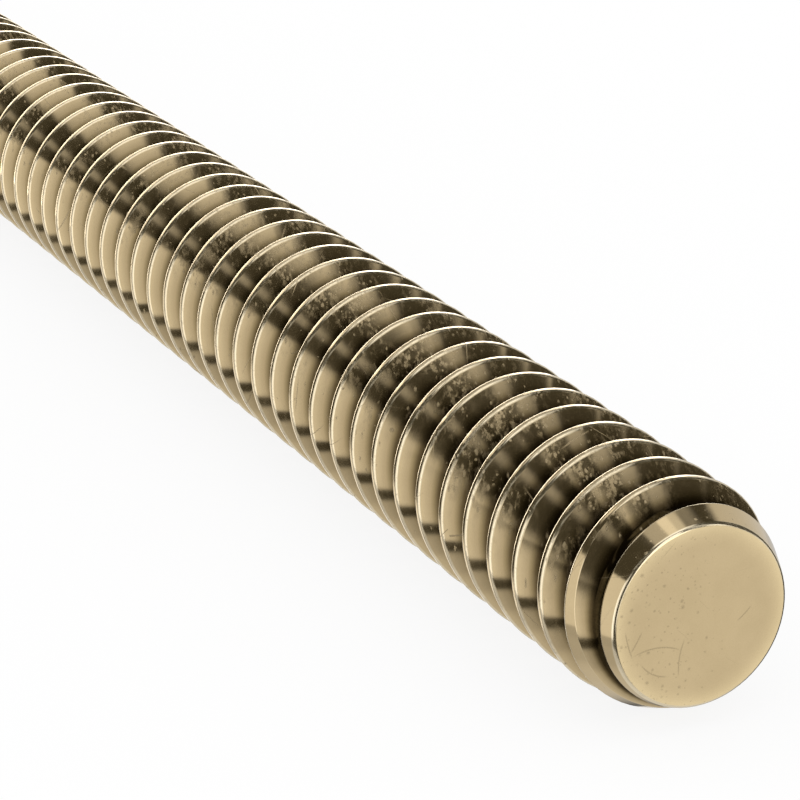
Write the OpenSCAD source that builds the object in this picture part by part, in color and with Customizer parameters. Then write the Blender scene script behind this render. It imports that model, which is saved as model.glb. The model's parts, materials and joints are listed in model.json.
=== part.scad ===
// Fully threaded brass rod, lying along X on the plane Z = 0.
// One solid: a single-start right-hand thread from end to end, and a chamfer and a flat face at each end.

/* [Rod] */
// Overall length
rod_len = 50.8; // [20:0.1:60]

/* [Thread] */
// Diameter over the crests
major_d = 3.46; // [2.5:0.01:6]
// Distance along the rod from one turn to the next
pitch = 0.79375; // [0.6:0.00625:1.5]
// Width of the flat on the crest, measured along the rod
crest_w = 0.1; // [0.04:0.01:0.2]
// Width of the flat at the bottom of the groove, measured along the rod
root_w = 0.1; // [0.04:0.01:0.2]
// Angle of each flank from a plane square to the rod
flank_angle = 40; // [30:0.5:45]
// Where the middle of the crest runs out through the +X end face, as an angle from the rod's lowest line
crest_exit = 255; // [0:1:359]

/* [Ends] */
// Angle of the end chamfer from the rod's axis
chamfer_angle = 22.8; // [15:0.1:60]
// How far the chamfer reaches below the bottom of the groove, at the end face
chamfer_past_root = 0.005; // [0.005:0.005:0.5]

/* [Hidden] */

brass = [0.72, 0.62, 0.44];
steps = 20;
spare_turns = 3;
major_r = major_d / 2;
flank_w = (pitch - crest_w - root_w) / 2;
thread_depth = flank_w / tan(flank_angle);
root_r = major_r - thread_depth;
tip_r = major_r + crest_w / 2 / tan(flank_angle);
face_r = root_r - chamfer_past_root;
chamfer_len = (major_r - face_r) / tan(chamfer_angle);

// One turn of the thread's section as [radius, place along the rod]. The ridge runs up to a sharp tip,
// which the envelope cuts back to the flat crest.
section = [
  [tip_r, 0],
  [root_r, crest_w / 2 + flank_w],
  [root_r, crest_w / 2 + flank_w + root_w]
];
corners = len(section);

// The helix passes both end faces by some spare turns. Its steps are counted from the +X end.
first_step = -steps * (ceil(rod_len / pitch) + spare_turns);
last_step = steps * spare_turns;
step_count = last_step - first_step;

// A corner of the section after a number of steps round the rod. Radii hold at the middle of each facet.
function on_helix(corner, step) =
  let (angle = 360 * step / steps, radius = corner[0] / cos(180 / steps))
  [radius * cos(angle), radius * sin(angle), corner[1] + pitch * (angle - crest_exit) / 360];

// Two triangles across a four-sided patch
function patch(a, b, c, d) = [[a, b, c], [a, c, d]];

// The helical ridge and its core, along Z with the +X end face at Z = 0
module helix_body() {
  points = [
    for (step = [first_step:last_step + steps]) for (corner = section) on_helix(corner, step),
    [0, 0, pitch * (first_step / steps - spare_turns)],
    [0, 0, pitch * (last_step / steps + spare_turns)]
  ];
  far_apex = len(points) - 2;
  near_apex = len(points) - 1;
  turn = corners * steps;
  last = corners * step_count;
  // The third corner of one turn is joined to the first corner of the next
  sides = [
    for (i = [0:step_count - 1]) let (p = corners * i) each concat(
      patch(p, p + 1, p + corners + 1, p + corners),
      patch(p + 1, p + 2, p + corners + 2, p + corners + 1),
      patch(p + 2, p + turn, p + turn + corners, p + corners + 2)
    )
  ];
  // The far end is closed from its first turn's lower edge, and the near end from its last turn's upper edge
  far_edge = concat([for (i = [0:steps]) corners * i], [2, 1, 0]);
  near_edge = concat([for (i = [0:steps]) last + corners * (steps - i)], [last + 1, last + 2, last + turn]);
  far_cap = [for (i = [0:len(far_edge) - 2]) [far_apex, far_edge[i], far_edge[i + 1]]];
  near_cap = [for (i = [0:len(near_edge) - 2]) [near_apex, near_edge[i], near_edge[i + 1]]];
  polyhedron(points, concat(sides, far_cap, near_cap), convexity = 10);
}

// The plain chamfered bar that the thread is cut into, along Z with the +X end face at Z = 0
module chamfered_bar() {
  rotate_extrude($fn = 96)
    polygon([
      [0, 0],
      [face_r, 0],
      [major_r, -chamfer_len],
      [major_r, chamfer_len - rod_len],
      [face_r, -rod_len],
      [0, -rod_len]
    ]);
}

module threaded_rod() {
  color(brass)
    translate([rod_len / 2, 0, major_r])
      rotate([0, 90, 0])
        intersection() {
          chamfered_bar();
          helix_body();
        }
}

threaded_rod();
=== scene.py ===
"""Brass threaded rod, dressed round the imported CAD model.

The rod lies along X on the floor, and places along it are measured from its +X end face.
The thread's sizes are in millimetres, and the mesh is scaled to metres when it is made.
"""

import json
import math

import bpy
import numpy as np
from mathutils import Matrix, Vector


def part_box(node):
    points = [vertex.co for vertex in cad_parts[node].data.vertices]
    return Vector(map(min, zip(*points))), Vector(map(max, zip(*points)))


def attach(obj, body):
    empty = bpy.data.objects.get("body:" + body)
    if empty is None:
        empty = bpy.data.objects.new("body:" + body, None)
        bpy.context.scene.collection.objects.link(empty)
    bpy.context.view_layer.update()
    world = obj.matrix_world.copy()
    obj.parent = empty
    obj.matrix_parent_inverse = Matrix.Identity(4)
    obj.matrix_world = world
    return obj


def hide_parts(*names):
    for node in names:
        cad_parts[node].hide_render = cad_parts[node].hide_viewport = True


NODE = "threaded_rod"
MM = 0.001

# Thread and ends, as in the CAD model (mm and degrees)
PITCH = 0.79375
CREST_W = 0.1
ROOT_W = 0.1
FLANK_ANGLE = 40
CREST_EXIT = 255
CHAMFER_ANGLE = 22.8
CHAMFER_PAST_ROOT = 0.005

# Edge roundings (mm). Where a chamfer cuts a ridge, the edge towards the rod's nearer end is crisper.
EDGE_ROUND = 0.029
CUT_ROUND = 0.007
CUT_FADE = 0.015
CHAMFER_ROUND = 0.04
RIM_ROUND = 0.08

# How far in from its rim an end face is polished by handling and painted lighter as a highlight, and how
# far down a flank the painted shade of the groove starts (mm)
RIM_POLISH_AND_HIGHLIGHT = 0.3
SINK = 0.06

# Mesh fineness: steps round the rod, and the ridges that are worked out beyond each end face
STEPS = 72
SPARE_RIDGES = 2
# Where the points across a rounding are, from one end of it (-1) to the other (1)
EDGE_SHARES = (-1, -0.66, -0.33, 0, 0.33, 0.66, 1)
CORNER_SHARES = (-1, 0, 1)
# Steps round an end face's rim, and the rings of points inside it, as shares of the width that is polished
# and painted lighter
RIM_STEPS = 5
FACE_RINGS = (1, 0.75, 0.5, 0.3, 0.15)
# Points nearer than this are one, and slopes are measured over twice the second step (mm)
WELD = 1e-5
SLOPE_STEP = 1e-4

# What each row of points holds about them: place along the rod, radius, how worn it is and how much painted
# highlight it gets, and how far the surface faces towards the +X end, round the rod and outward
PLACE, RADIUS, WEAR_AND_HIGHLIGHT, TOWARDS_END, ROUND_ROD, OUTWARD = range(6)

# Camera, as seen from the middle of the +X end face: its place in rod radii and where it looks, then its
# lens and sensor (mm), and the distances between which it sees (m)
CAMERA_PLACE = (21.611, -12.895, 10.981)
CAMERA_LOOK = (-0.84921, 0.40186, -0.34254)
CAMERA_LENS = 153.1
CAMERA_SENSOR = 36
CAMERA_CLIP = (0.001, 10)


# ---------------------------------------------------------------- the thread's form


class Rod:
    """The rod's sizes in millimetres, worked out from the frame and the thread's own sizes."""

    def __init__(self, low, high, axis_height):
        self.length = (high.x - low.x) / MM
        self.radius = axis_height / MM
        self.flank_w = (PITCH - CREST_W - ROOT_W) / 2
        self.flank_slope = 1 / math.tan(math.radians(FLANK_ANGLE))
        self.root_radius = self.radius - self.flank_w * self.flank_slope
        self.face_radius = self.root_radius - CHAMFER_PAST_ROOT
        self.chamfer_slope = math.tan(math.radians(CHAMFER_ANGLE))
        self.chamfer_len = (self.radius - self.face_radius) / self.chamfer_slope
        self.rim_turn = math.radians(90 - CHAMFER_ANGLE)
        self.rim_reach = RIM_ROUND * math.tan(self.rim_turn / 2)
        self.rim_place = self.rim_reach * math.cos(math.radians(CHAMFER_ANGLE))


def smooth_min(a, b, blend):
    """The lesser of a and b, rounded off where they come within blend of each other."""
    overlap = np.maximum(blend - np.abs(a - b), 0)
    return np.minimum(a, b) - overlap**2 / (4 * blend)


def bar_radius(rod, place):
    """Radius of the plain chamfered bar that the thread is cut into, at a place along it."""
    chamfer = rod.face_radius + rod.chamfer_slope * np.minimum(place, rod.length - place)
    return smooth_min(chamfer, rod.radius, CHAMFER_ROUND * rod.chamfer_slope)


def edge_rounding(rod, place, beyond_ridge):
    """How far along the rod the rounding of a ridge's edge reaches, and how steeply its two sides part.

    The edge is at a place along the rod. beyond_ridge is above 0 if it is on the side of its ridge that
    is away from the +X end.
    """
    cut = np.clip((rod.radius - bar_radius(rod, place)) / CUT_FADE, 0, 1)
    faces_end = beyond_ridge * (place - rod.length / 2) > 0
    reach = EDGE_ROUND + (CUT_ROUND - EDGE_ROUND) * cut * faces_end
    parting = rod.flank_slope - rod.chamfer_slope * cut * np.where(faces_end, 1, -1)
    return reach, parting


def thread_radius(rod, place, ridge):
    """Radius of the rod at a place along it, where one of its ridges has its middle at the place ridge."""
    beyond_ridge = (place - ridge + PITCH / 2) % PITCH - PITCH / 2
    flank = rod.radius - rod.flank_slope * (np.abs(beyond_ridge) - CREST_W / 2)
    groove = -smooth_min(-flank, -rod.root_radius, ROOT_W / 2 * rod.flank_slope)
    reach, parting = edge_rounding(rod, place, beyond_ridge)
    return smooth_min(bar_radius(rod, place), groove, reach * parting)


def groove_depth(rod, place, radius):
    """How deep in the groove the surface is: 0 at the crest and all over the chamfers, 1 at the bottom."""
    sunk = np.clip((bar_radius(rod, place) - radius) / SINK, 0, 1)
    return np.clip(sunk * (rod.radius - radius) / (rod.radius - rod.root_radius), 0, 1)


def flank_top(rod, edge):
    """Where a flank that rises away from the +X end meets the crest or a chamfer.

    The place edge is where it would meet a full crest.
    """
    s, t = rod.flank_slope, rod.chamfer_slope
    cut = rod.radius - rod.face_radius
    on_near_chamfer = (s * edge - cut) / (s - t)
    on_far_chamfer = (s * edge - cut + t * rod.length) / (s + t)
    return np.minimum(edge, np.minimum(on_near_chamfer, on_far_chamfer))


def section_columns(rod, ridge):
    """The points of the section through one ridge, in order: (place along the rod, how worn it is and how
    much painted highlight it gets).
    """
    half = CREST_W / 2
    near_top = flank_top(rod, ridge - half)
    far_top = rod.length - flank_top(rod, rod.length - ridge - half)
    near_round, _ = edge_rounding(rod, near_top, -1)
    far_round, _ = edge_rounding(rod, far_top, 1)
    inner = (near_top + near_round, far_top - far_round)
    columns = []
    for share in CORNER_SHARES:
        columns.append((ridge - half - rod.flank_w + share * ROOT_W / 2, 0))
    for share in EDGE_SHARES:
        # This edge value is real wear, and it also paints a lighter highlight along the rounded edge
        edge_wear_and_highlight = (1 - share * share) * near_round / EDGE_ROUND
        columns.append((near_top + share * near_round, edge_wear_and_highlight))
    for corner in (rod.chamfer_len, rod.length - rod.chamfer_len):
        for share in CORNER_SHARES:
            columns.append((np.clip(corner + share * CHAMFER_ROUND, *inner), 0))
    for share in EDGE_SHARES:
        edge_wear_and_highlight = (1 - share * share) * far_round / EDGE_ROUND
        columns.append((far_top + share * far_round, edge_wear_and_highlight))
    for share in CORNER_SHARES:
        columns.append((ridge + half + rod.flank_w + share * ROOT_W / 2, 0))
    return columns


def section_normals(rod, places, radii, ridge):
    """How far the thread's surface faces towards the +X end and round the rod, for one part outward."""
    ahead = thread_radius(rod, places + SLOPE_STEP, ridge)
    behind = thread_radius(rod, places - SLOPE_STEP, ridge)
    towards_end = (ahead - behind) / (2 * SLOPE_STEP)
    turned_on = thread_radius(rod, places, ridge - SLOPE_STEP)
    turned_back = thread_radius(rod, places, ridge + SLOPE_STEP)
    round_rod = (turned_back - turned_on) / (2 * SLOPE_STEP) * PITCH / (2 * math.pi * radii)
    return towards_end, round_rod


def end_columns(rod):
    """The points of the section across the +X end face and round its rim, as a row of points holds them."""
    columns = []
    flat = rod.face_radius - rod.rim_reach
    for ring in FACE_RINGS:
        # Towards its rim the face is polished, and it is also painted lighter as a highlight
        columns.append((0, flat - ring * RIM_POLISH_AND_HIGHLIGHT, (1 - ring) ** 2, 1, 0, 0))
    # Round the rim: full wear and full painted highlight
    for step in range(RIM_STEPS):
        turn = rod.rim_turn * step / RIM_STEPS
        place = RIM_ROUND * (1 - math.cos(turn))
        radius = flat + RIM_ROUND * math.sin(turn)
        columns.append((place, radius, 1, math.cos(turn), 0, math.sin(turn)))
    return columns


def end_rows(rod):
    """The rows of points of the +X end face and of the other one."""
    near = np.repeat(np.array(end_columns(rod)).T[:, None], STEPS, axis=1)
    far = near[:, :, ::-1].copy()
    far[PLACE] = rod.length - far[PLACE]
    far[TOWARDS_END] = -far[TOWARDS_END]
    return near, far


def thread_rows(rod, middles):
    """The rows of points of the thread, and how many points a ridge has, given the ridges' middles."""
    columns = section_columns(rod, middles)
    places = np.stack([place for place, _ in columns], axis=-1).reshape(STEPS, -1)
    places = np.clip(places, rod.rim_place, rod.length - rod.rim_place)
    places = np.maximum.accumulate(places, axis=1)
    wear_and_highlight = np.stack([np.broadcast_to(edge_wear_and_highlight, middles.shape) for _, edge_wear_and_highlight in columns], axis=-1)
    wear_and_highlight = wear_and_highlight.reshape(STEPS, -1)
    radii = thread_radius(rod, places, middles[:, :1])
    towards_end, round_rod = section_normals(rod, places, radii, middles[:, :1])
    outward = np.ones(places.shape)
    return np.stack([places, radii, wear_and_highlight, towards_end, round_rod, outward]), len(columns)


def points_and_normals(rod, angles, rows):
    """Where each point is (mm) and which way the surface faces there."""
    turn = np.radians(angles)[:, None]
    x = rod.length / 2 - rows[PLACE]
    y = rows[RADIUS] * np.sin(turn)
    z = rod.radius - rows[RADIUS] * np.cos(turn)
    normal_y = rows[OUTWARD] * np.sin(turn) + rows[ROUND_ROD] * np.cos(turn)
    normal_z = rows[ROUND_ROD] * np.sin(turn) - rows[OUTWARD] * np.cos(turn)
    normals = np.stack([rows[TOWARDS_END], normal_y, normal_z], axis=-1)
    normals /= np.linalg.norm(normals, axis=-1, keepdims=True)
    return np.stack([x, y, z], axis=-1), normals


def number_points(rows):
    """Which points are made, and each one's number. Points of one row that fall together are made once."""
    gaps = np.hypot(np.diff(rows[PLACE], axis=1), np.diff(rows[RADIUS], axis=1))
    made = np.ones(rows[PLACE].shape, bool)
    made[:, 1:] = gaps > WELD
    return made, np.cumsum(made).reshape(made.shape) - 1


def join_rows(numbers, end_size, ridge_size):
    """Faces from each row of points to the next, and across the middle of each end face."""
    # After a full turn each ridge has become the one before it
    closing = numbers[0].copy()
    thread = closing[end_size:-end_size]
    thread[:] = np.roll(thread, ridge_size)
    thread[:ridge_size] = numbers[0, end_size]
    faces = []
    for row, following in zip(numbers, [*numbers[1:], closing]):
        for corners in zip(row[:-1], row[1:], following[1:], following[:-1]):
            corners = list(dict.fromkeys(map(int, corners)))
            if len(corners) > 2:
                faces.append(corners)
    faces.append([int(number) for number in numbers[:, 0]])
    faces.append([int(number) for number in numbers[::-1, -1]])
    return faces


def rod_mesh(rod):
    """The whole rod as one closed mesh.

    Each row of points is the section at one angle round the rod, from face to face, and each angle's
    ridges are the last angle's moved along by a share of the pitch.
    """
    angles = 360 * np.arange(STEPS) / STEPS
    ridges = np.arange(-SPARE_RIDGES, math.ceil(rod.length / PITCH) + SPARE_RIDGES + 1)
    middles = PITCH * (ridges[None, :] - (angles[:, None] - CREST_EXIT) / 360)
    near_end, far_end = end_rows(rod)
    end_size = near_end.shape[2]
    thread, ridge_size = thread_rows(rod, middles)
    rows = np.concatenate([near_end, thread, far_end], axis=2)

    points, normals = points_and_normals(rod, angles, rows)
    # How deep in the groove each point is, which paints the shade there
    depth = groove_depth(rod, rows[PLACE], rows[RADIUS])
    depth[:, :end_size] = 0
    depth[:, -end_size:] = 0
    made, numbers = number_points(rows)
    faces = join_rows(numbers, end_size, ridge_size)
    return points[made] * MM, faces, normals[made], depth[made], rows[WEAR_AND_HIGHLIGHT][made]


def make_rod(rod):
    points, faces, normals, depth, wear_and_highlight = rod_mesh(rod)
    mesh = bpy.data.meshes.new("brass_rod")
    mesh.from_pydata(points.tolist(), [], faces)
    for name, values in (("depth", depth), ("wear_and_highlight", wear_and_highlight)):
        attribute = mesh.attributes.new(name, "FLOAT", "POINT")
        attribute.data.foreach_set("value", values.astype(np.float32))
    mesh.shade_smooth()
    mesh.normals_split_custom_set_from_vertices(normals.tolist())
    piece = bpy.data.objects.new("brass_rod", mesh)
    bpy.context.collection.objects.link(piece)
    return piece


# ---------------------------------------------------------------- shader helpers


def opaque(colour):
    return (*colour, 1)


def grey(level):
    return (level, level, level, 1)


class Shader:
    """A node tree with short ways to add and join nodes."""

    def __init__(self, tree):
        self.tree = tree
        tree.nodes.clear()

    def add(self, kind, inputs=(), **settings):
        node = self.tree.nodes.new(kind)
        for name, value in settings.items():
            setattr(node, name, value)
        for name, value in dict(inputs).items():
            self.feed(node.inputs[name], value)
        return node

    def feed(self, socket, value):
        if isinstance(value, bpy.types.NodeSocket):
            self.tree.links.new(value, socket)
        else:
            socket.default_value = value

    def feed_all(self, sockets, values):
        for socket, value in zip(sockets, values):
            self.feed(socket, value)

    def math(self, operation, *values, clamp=False):
        node = self.add("ShaderNodeMath", operation=operation, use_clamp=clamp)
        self.feed_all(node.inputs, values)
        return node.outputs[0]

    def product(self, first, *others):
        for other in others:
            first = self.math("MULTIPLY", first, other)
        return first

    def greatest(self, values):
        """The greatest of the values and 0."""
        most = 0.0
        for value in values:
            most = self.math("MAXIMUM", most, value)
        return most

    def rest_of(self, value):
        """What value leaves of 1."""
        return self.math("SUBTRACT", 1.0, value)

    def ramp(self, value, start, end, low=0.0, high=1.0):
        """A smooth step of value, from low at start to high at end."""
        names = ("Value", "From Min", "From Max", "To Min", "To Max")
        inputs = dict(zip(names, (value, start, end, low, high)))
        return self.add("ShaderNodeMapRange", inputs, interpolation_type="SMOOTHSTEP").outputs[0]

    def mix(self, amount, a, b, blend="MIX"):
        # The node's colour sockets come after its number and vector ones
        node = self.add("ShaderNodeMix", data_type="RGBA", blend_type=blend)
        self.feed_all((node.inputs[0], node.inputs[6], node.inputs[7]), (amount, a, b))
        return node.outputs[2]

    def vector(self, operation, *values):
        node = self.add("ShaderNodeVectorMath", operation=operation)
        self.feed_all(node.inputs, values)
        return node.outputs["Value" if operation in ("LENGTH", "DOT_PRODUCT") else "Vector"]

    def parts(self, vector):
        """The outputs "X", "Y" and "Z" of a vector."""
        return self.add("ShaderNodeSeparateXYZ", {"Vector": vector}).outputs

    def noise(self, vector, scale, detail, roughness=0.5):
        inputs = {"Vector": vector, "Scale": scale, "Detail": detail, "Roughness": roughness}
        return self.add("ShaderNodeTexNoise", inputs).outputs["Fac"]

    def cells(self, vector, scale):
        """Cells scattered at random, and three random numbers of each as "Red", "Green" and "Blue"."""
        cells = self.add("ShaderNodeTexVoronoi", {"Vector": vector, "Scale": scale}).outputs
        return cells, self.add("ShaderNodeSeparateColor", {"Color": cells["Color"]}).outputs

    def specks(self, vector, scale, size, crowd):
        """Small round spots, about size cells in radius, in the share of cells that crowd gives."""
        cells, chance = self.cells(vector, scale)
        kept = self.math("LESS_THAN", chance["Red"], crowd)
        radius = self.product(self.math("ADD", chance["Green"], 0.5), size)
        away = self.math("DIVIDE", cells["Distance"], radius)
        return self.product(self.ramp(away, 1.0, 0.0), kept)

    def scratches(self, vector, scale, width, crowd):
        """Straight scratches that run every way, one to a cell, in the share of cells that crowd gives."""
        cells, chance = self.cells(vector, scale)
        kept = self.math("LESS_THAN", chance["Blue"], crowd)
        from_middle = self.vector("SUBTRACT", vector, cells["Position"])
        across = self.vector("NORMALIZE", self.vector("SUBTRACT", cells["Color"], (0.5, 0.5, 0.5)))
        aside = self.math("ABSOLUTE", self.vector("DOT_PRODUCT", from_middle, across))
        fading = self.ramp(self.vector("LENGTH", from_middle), 0.5 / scale, 0.15 / scale)
        line = self.ramp(aside, width, 0.3 * width)
        return self.product(line, fading, kept)


# ---------------------------------------------------------------- brass

# Painted shade: colours from the crest of the thread down into the groove, darkening to near black at the
# bottom
# where shade falls: (depth, colour)
GROOVE_SHADE_TONES = (
    (0.00, (0.73, 0.570, 0.330)),
    (0.13, (0.69, 0.537, 0.310)),
    (0.27, (0.60, 0.465, 0.265)),
    (0.40, (0.53, 0.405, 0.225)),
    (0.53, (0.34, 0.255, 0.130)),
    (0.66, (0.13, 0.092, 0.042)),
    (0.80, (0.028, 0.018, 0.007)),
    (1.00, (0.006, 0.004, 0.001)),
)
# Painted highlight, with real wear: lighter tones along the ridges' rounded edges and the rims, and on the
# end faces towards their rims
WORN_HIGHLIGHT_TONE = (0.96, 0.830, 0.590)
POLISHED_HIGHLIGHT_TONE = (0.94, 0.750, 0.435)
TARNISH = (0.30, 0.210, 0.090)
DUST = (0.54, 0.425, 0.250)
PIT_TONE = (0.20, 0.150, 0.080)

# Hair-fine curved scratches on the +X end face: the middle of each one's circle across and up from the
# rod's axis and its radius (mm), then the heading of its own middle and half its spread (degrees)
FACE_SCRATCHES = (
    (-0.72, -1.24, 0.89, 87, 28),
    (-0.45, -0.25, 0.57, -121, 30),
    (0.75, -0.72, 1.08, 172, 17),
    (0.55, 0.25, 1.76, -164, 8),
    (-2.20, 0.50, 1.39, -31, 8),
    (-0.20, 0.95, 1.38, -49, 7),
)
SCRATCH_WIDTH = 0.017

# How strongly each kind of blemish shows, and how much of the brass's tone and metal a full one hides
BLEMISHES = {
    "dust": 1.0,
    "fine dust": 0.9,
    "smears": 0.5,
    "nicks": 0.25,
    "scratches": 0.6,
    "long scratches": 0.6,
    "pits": 0.42,
    "fine pits": 0.34,
    "face hairlines": 0.24,
    "face scratches": 0.32,
}
BLEMISH_COVER = 0.8
BLEMISH_MATT = 0.55

# Roughness of clean brass, and what haze, wear and blemishes add to it at most
ROUGHNESS = 0.09
HAZE_ROUGHNESS = 0.05
WORN_ROUGHNESS = 0.04
BLEMISH_ROUGHNESS = 0.45

# Shares of tarnish that clouds and grain bring at most, and the bump of the grain: strength and height (mm)
CLOUD_TARNISH = 0.10
GRAIN_TARNISH = 0.05
GRAIN_BUMP = 0.2
GRAIN_HEIGHT = 0.0003

# Distances from an end (mm): where its face starts and is wholly face, and where the marks of the thread
# start and are all there
FACE_FADE = (0.007, 0.001)
THREAD_FADE = (0.6, 1.0)


def face_scratches(shader, place, rod):
    """The curved scratches on the +X end face, from 0 to 1."""
    lines = []
    for across, up, radius, heading, spread in FACE_SCRATCHES:
        middle = (0.0, across, rod.radius + up)
        reach = shader.vector("MULTIPLY", shader.vector("SUBTRACT", place, middle), (0.0, 1.0, 1.0))
        parts = shader.parts(reach)
        aside = shader.math("ABSOLUTE", shader.math("SUBTRACT", shader.vector("LENGTH", reach), radius))
        angle = shader.math("DEGREES", shader.math("ARCTAN2", parts["Z"], parts["Y"]))
        turn = shader.math("WRAP", shader.math("SUBTRACT", angle, heading), -180, 180)
        fading = shader.ramp(shader.math("ABSOLUTE", turn), spread, spread / 2)
        lines.append(shader.product(shader.ramp(aside, SCRATCH_WIDTH, SCRATCH_WIDTH / 4), fading))
    return shader.greatest(lines)


def face_marks(shader, place, ruffled, on_face, rod):
    """Pits and hairlines of both end faces, thickest towards -Y, and the scratches of the +X one."""
    parts = shader.parts(place)
    aside = shader.ramp(parts["Y"], 0.7 * rod.radius, -0.6 * rod.radius, low=0.15, high=0.85)
    pitted = shader.product(on_face, aside)
    near_face = shader.product(on_face, shader.math("GREATER_THAN", parts["X"], 0.0))
    hairlines = shader.scratches(place, scale=2.2, width=0.007, crowd=0.5)
    return {
        "pits": shader.specks(ruffled, scale=7.5, size=0.24, crowd=pitted),
        "fine pits": shader.specks(ruffled, scale=13.0, size=0.26, crowd=shader.product(pitted, 0.6)),
        "face hairlines": shader.product(hairlines, pitted),
        "face scratches": shader.product(face_scratches(shader, place, rod), near_face),
    }


def thread_marks(shader, place, ruffled, wear_and_highlight, off_face, rod):
    """Dust, nicks and scratches off the end faces. Dust lies in patches, most on the rod's upper side."""
    parts = shader.parts(place)
    fade_start, fade_end = (rod.length / 2 - distance for distance in THREAD_FADE)
    threaded = shader.ramp(shader.math("ABSOLUTE", parts["X"]), fade_start, fade_end, low=0.25)
    threaded = shader.product(threaded, off_face)
    upper = shader.ramp(parts["Z"], 1.1 * rod.radius, 1.6 * rod.radius, low=0.15)
    patchy = shader.noise(place, scale=0.9, detail=4, roughness=0.6)
    patches = shader.ramp(patchy, 0.44, 0.60, low=0.08, high=0.85)
    crowd = shader.product(patches, upper, threaded)

    streaky = shader.vector("MULTIPLY", ruffled, (1.0, 1.0, 0.3))
    smears = shader.ramp(shader.noise(streaky, scale=12.0, detail=4, roughness=0.65), 0.46, 0.64)
    nicks = shader.ramp(shader.noise(place, scale=14.0, detail=2), 0.57, 0.64)
    scratches = shader.scratches(place, scale=1.3, width=0.012, crowd=0.6)
    long_scratches = shader.scratches(place, scale=0.4, width=0.009, crowd=0.5)
    return {
        "dust": shader.specks(ruffled, scale=7.0, size=0.22, crowd=crowd),
        "fine dust": shader.specks(streaky, scale=14.0, size=0.36, crowd=crowd),
        "smears": shader.product(smears, crowd),
        "nicks": shader.product(nicks, wear_and_highlight, threaded),
        "scratches": shader.product(scratches, threaded),
        "long scratches": shader.product(long_scratches, threaded),
    }


def blemishes(shader, place, wear_and_highlight, on_face, rod):
    """All that lies on the brass or is cut into it, from 0 to 1."""
    ruffle_inputs = {"Vector": place, "Scale": 20.0, "Detail": 1.0}
    ruffle = shader.add("ShaderNodeTexNoise", ruffle_inputs).outputs["Color"]
    ruffled = shader.vector("MULTIPLY_ADD", ruffle, (0.025, 0.025, 0.025), place)
    marks = {
        **thread_marks(shader, place, ruffled, wear_and_highlight, shader.rest_of(on_face), rod),
        **face_marks(shader, place, ruffled, on_face, rod),
    }
    return shader.greatest(shader.product(mark, BLEMISHES[kind]) for kind, mark in marks.items())


def painted_groove_shade(shader, depth):
    """Painted shade: the brass's tone, darkened down into the groove where shade falls."""
    tones = shader.add("ShaderNodeValToRGB", {"Fac": depth})
    stops = tones.color_ramp.elements
    while len(stops) < len(GROOVE_SHADE_TONES):
        stops.new(1)
    for stop, (position, colour) in zip(stops, GROOVE_SHADE_TONES):
        stop.position = position
        stop.color = opaque(colour)
    return tones.outputs["Color"]


def brass(rod):
    material = bpy.data.materials.new("brass")
    material.use_nodes = True
    shader = Shader(material.node_tree)
    place = shader.add("ShaderNodeTexCoord").outputs["Object"]
    place = shader.vector("MULTIPLY", place, (1 / MM, 1 / MM, 1 / MM))
    # The groove depth paints shade into the grooves
    depth = shader.add("ShaderNodeAttribute", attribute_name="depth").outputs["Fac"]
    # The edge value paints a highlight on worn edges and rims, and marks where nicks lie
    wear_and_highlight = shader.add("ShaderNodeAttribute", attribute_name="wear_and_highlight").outputs["Fac"]
    from_middle = shader.math("ABSOLUTE", shader.parts(place)["X"])
    face_start, face_end = (rod.length / 2 - distance for distance in FACE_FADE)
    on_face = shader.ramp(from_middle, face_start, face_end)
    blemish = blemishes(shader, place, wear_and_highlight, on_face, rod)
    grain = shader.noise(place, scale=40, detail=2)

    # Tone: painted highlight with real wear along the edges and round the end faces' rims, painted shade
    # down into the grooves, faintly clouded and grainy all over, and hidden where blemishes lie
    wear_and_highlight_tone = shader.mix(on_face, opaque(WORN_HIGHLIGHT_TONE), opaque(POLISHED_HIGHLIGHT_TONE))
    tone = shader.mix(wear_and_highlight, painted_groove_shade(shader, depth), wear_and_highlight_tone)
    clouds = shader.noise(place, scale=1.3, detail=4, roughness=0.6)
    tone = shader.mix(shader.ramp(clouds, 0.3, 0.7, high=CLOUD_TARNISH), tone, opaque(TARNISH))
    tone = shader.mix(shader.ramp(grain, 0.3, 0.7, high=GRAIN_TARNISH), tone, opaque(TARNISH))
    blemish_tone = shader.mix(on_face, opaque(DUST), opaque(PIT_TONE))
    tone = shader.mix(shader.product(blemish, BLEMISH_COVER), tone, blemish_tone)

    # Gloss: dust and scuffs are matt, and haze and wear dull the rest a little
    metal = shader.rest_of(shader.product(blemish, BLEMISH_MATT))
    haze = shader.noise(place, scale=2.2, detail=5, roughness=0.6)
    roughness = shader.ramp(haze, 0.35, 0.75, high=HAZE_ROUGHNESS)
    roughness = shader.math("ADD", roughness, shader.product(blemish, BLEMISH_ROUGHNESS))
    roughness = shader.math("ADD", roughness, shader.product(wear_and_highlight, WORN_ROUGHNESS))
    roughness = shader.math("ADD", roughness, ROUGHNESS, clamp=True)
    bump_inputs = {"Height": grain, "Strength": GRAIN_BUMP, "Distance": GRAIN_HEIGHT * MM}
    bump = shader.add("ShaderNodeBump", bump_inputs).outputs["Normal"]
    looks = {"Base Color": tone, "Metallic": metal, "Roughness": roughness, "Normal": bump}
    bsdf = shader.add("ShaderNodeBsdfPrincipled", looks)
    shader.add("ShaderNodeOutputMaterial", {"Surface": bsdf.outputs[0]})
    return material


# ---------------------------------------------------------------- studio

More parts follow.
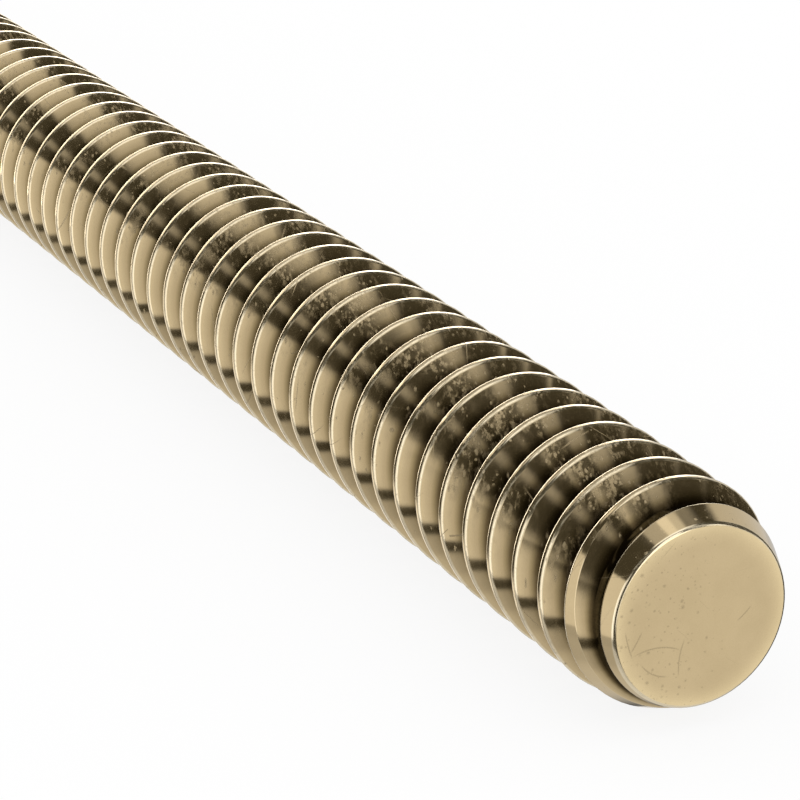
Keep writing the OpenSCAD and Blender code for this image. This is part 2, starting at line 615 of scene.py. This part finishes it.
# Soft-edged cards round the object: azimuth from +X towards +Y, elevation, half width, half height and
# soft edge (all in degrees), and radiance. Where two overlap the brighter one shows.
CARDS = (
    (-83, -1.5, 34.6, 26.5, 2.4, 0.88),
    (-60, 18, 13.4, 7, 3, 0.88),
    (-76, -3, 10.5, 26.5, 1.5, 1.30),
    (-60, -60, 70, 22.5, 2.5, 0.54),
    (0, -90, 180, 30, 28, 0.68),
    (-105, -40, 26, 14, 6, 0.50),
    (-48, 39.5, 27, 0.8, 3.5, 0.47),
    (33, 41, 5, 12, 9, 0.50),
    (74.5, 33, 1, 4, 3, 0.50),
    (38, 16, 5, 7, 3, 1.30),
    (8, 6, 14, 9, 4, 1.60),
    (4, 30, 10, 17, 4, 1.35),
    (-4, -11, 10, 9, 4, 0.95),
    (40, -26, 28, 28, 8, 0.80),
    (121, 13.5, 12, 23.5, 10, 0.70),
    (172, 12, 30, 13, 4, 1.80),
    (170, 8, 24, 10, 4, 3.80),
    (-166, -3, 7, 9, 3, 4.40),
    (168, 10, 16, 8, 4, 5.00),
    (178, -17, 26, 16, 5, 1.15),
    (138, -16, 16, 9, 6, 0.60),
    (-172, -40, 12, 8, 6, 0.55),
    (-155, -29, 10, 5, 6, 0.42),
    (180, 31, 20, 5, 5, 0.42),
)
# Flat cards overhead, in heights above the object: middle along X and Y, half sizes, soft edge and radiance
OVERHEAD = (
    (0.25, 0.07, 0.35, 0.28, 0.11, 0.78),
    (-0.25, -0.20, 0.20, 0.14, 0.08, 0.55),
    (-0.25, 0.00, 0.20, 0.07, 0.06, 1.05),
    (-0.25, 0.12, 0.20, 0.08, 0.10, 0.75),
    (-0.75, -0.45, 0.15, 0.12, 0.15, 1.20),
    (0.20, -0.08, 0.20, 0.27, 0.15, 1.15),
    (-0.90, 0.00, 0.50, 0.35, 0.30, 0.45),
)
# A dark gap low on the -Y side, between two cards: its place and sizes as a card's, and how dark it is
GAP = (-50, -33, 8, 2.5, 4)
GAP_DARKNESS = 0.51
# What shows between the cards
ROOM = (0.070, 0.066, 0.052)

# Half the floor's width (m), the share of light that it scatters, and its glow to the camera. Scattered
# light and glow together make it white.
FLOOR_HALF = 2.0
FLOOR_GREY = 0.12
FLOOR_GLOW = 0.88


def near(shader, value, middle, half, soft):
    """1 within half of the middle, falling to 0 over the soft edge."""
    off = shader.math("ABSOLUTE", shader.math("SUBTRACT", value, middle))
    return shader.ramp(off, half + soft, half)


def card_light(shader, direction):
    """The radiance of the cards in each direction."""
    parts = shader.parts(direction)
    azimuth = shader.math("DEGREES", shader.math("ARCTAN2", parts["Y"], parts["X"]))
    elevation = shader.math("DEGREES", shader.math("ARCSINE", parts["Z"]))

    def upright(middle, height, half_w, half_h, soft, share):
        turn = shader.math("WRAP", shader.math("SUBTRACT", azimuth, middle), -180, 180)
        across = near(shader, turn, 0, half_w, soft)
        return shader.product(across, near(shader, elevation, height, half_h, soft), share)

    light = shader.greatest(upright(*card) for card in CARDS)
    light = shader.product(light, shader.rest_of(upright(*GAP, GAP_DARKNESS)))

    above = shader.math("MAXIMUM", parts["Z"], 0.01)
    ceiling_x = shader.math("DIVIDE", parts["X"], above)
    ceiling_y = shader.math("DIVIDE", parts["Y"], above)

    def overhead(x, y, half_x, half_y, soft, radiance):
        along = near(shader, ceiling_x, x, half_x, soft)
        return shader.product(along, near(shader, ceiling_y, y, half_y, soft), radiance)

    return shader.greatest([light, *(overhead(*card) for card in OVERHEAD)])


def studio():
    world = bpy.data.worlds.new("studio")
    bpy.context.scene.world = world
    world.use_nodes = True
    world.cycles.sampling_method = "NONE"
    shader = Shader(world.node_tree)
    light = card_light(shader, shader.add("ShaderNodeTexCoord").outputs["Generated"])
    cards = shader.add("ShaderNodeCombineColor", {"Red": light, "Green": light, "Blue": light})
    cards = shader.mix(1.0, cards.outputs[0], opaque(ROOM), "LIGHTEN")

    # Metal mirrors the cards. Matt surfaces and the camera get plain white light.
    mirrored = shader.add("ShaderNodeLightPath").outputs["Is Glossy Ray"]
    colour = shader.mix(mirrored, grey(1), cards)
    background = shader.add("ShaderNodeBackground", {"Color": colour, "Strength": 1.0})
    shader.add("ShaderNodeOutputWorld", {"Surface": background.outputs[0]})


def floor_material():
    """Matt grey that throws little light back on the rod, and to the camera glows as well."""
    material = bpy.data.materials.new("floor")
    material.use_nodes = True
    shader = Shader(material.node_tree)
    matt = shader.add("ShaderNodeBsdfDiffuse", {"Color": grey(FLOOR_GREY)}).outputs[0]
    glow = shader.add("ShaderNodeEmission", {"Color": grey(FLOOR_GLOW)}).outputs[0]
    both = shader.add("ShaderNodeAddShader")
    shader.feed_all(both.inputs, (matt, glow))
    seen = shader.add("ShaderNodeLightPath").outputs["Is Camera Ray"]
    surface = shader.add("ShaderNodeMixShader")
    shader.feed_all(surface.inputs, (seen, matt, both.outputs[0]))
    shader.add("ShaderNodeOutputMaterial", {"Surface": surface.outputs[0]})
    return material


def floor():
    mesh = bpy.data.meshes.new("floor")
    half = FLOOR_HALF
    corners = [(-half, -half, 0), (half, -half, 0), (half, half, 0), (-half, half, 0)]
    mesh.from_pydata(corners, [], [(0, 1, 2, 3)])
    mesh.materials.append(floor_material())
    piece = bpy.data.objects.new("floor", mesh)
    bpy.context.collection.objects.link(piece)
    piece.visible_glossy = False


def camera(rod):
    data = bpy.data.cameras.new("camera")
    data.lens = CAMERA_LENS
    data.sensor_width = CAMERA_SENSOR
    data.clip_start, data.clip_end = CAMERA_CLIP
    eye = bpy.data.objects.new("camera", data)
    end_face = Vector((rod.length / 2, 0, rod.radius)) * MM
    eye.location = end_face + Vector(CAMERA_PLACE) * rod.radius * MM
    eye.rotation_euler = Vector(CAMERA_LOOK).to_track_quat("-Z", "Y").to_euler()
    bpy.context.collection.objects.link(eye)
    bpy.context.scene.camera = eye


# ---------------------------------------------------------------- the scene

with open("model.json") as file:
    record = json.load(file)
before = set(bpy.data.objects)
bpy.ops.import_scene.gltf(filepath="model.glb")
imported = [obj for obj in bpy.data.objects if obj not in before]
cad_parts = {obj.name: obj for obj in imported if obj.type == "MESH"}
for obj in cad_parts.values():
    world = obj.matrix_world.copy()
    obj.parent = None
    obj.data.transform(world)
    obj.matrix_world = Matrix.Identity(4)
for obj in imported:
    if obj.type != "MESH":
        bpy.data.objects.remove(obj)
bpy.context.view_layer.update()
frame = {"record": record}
low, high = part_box(NODE)
mounts = {mount["name"]: mount for mount in frame["record"]["mounts"]}
sizes = Rod(low, high, axis_height=mounts["end_face"]["pos_m"][2])

rod_piece = make_rod(sizes)
rod_piece.data.materials.append(brass(sizes))
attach(rod_piece, "root")
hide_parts(NODE)

floor()
studio()
camera(sizes)
bpy.context.scene.view_settings.view_transform = "Standard"
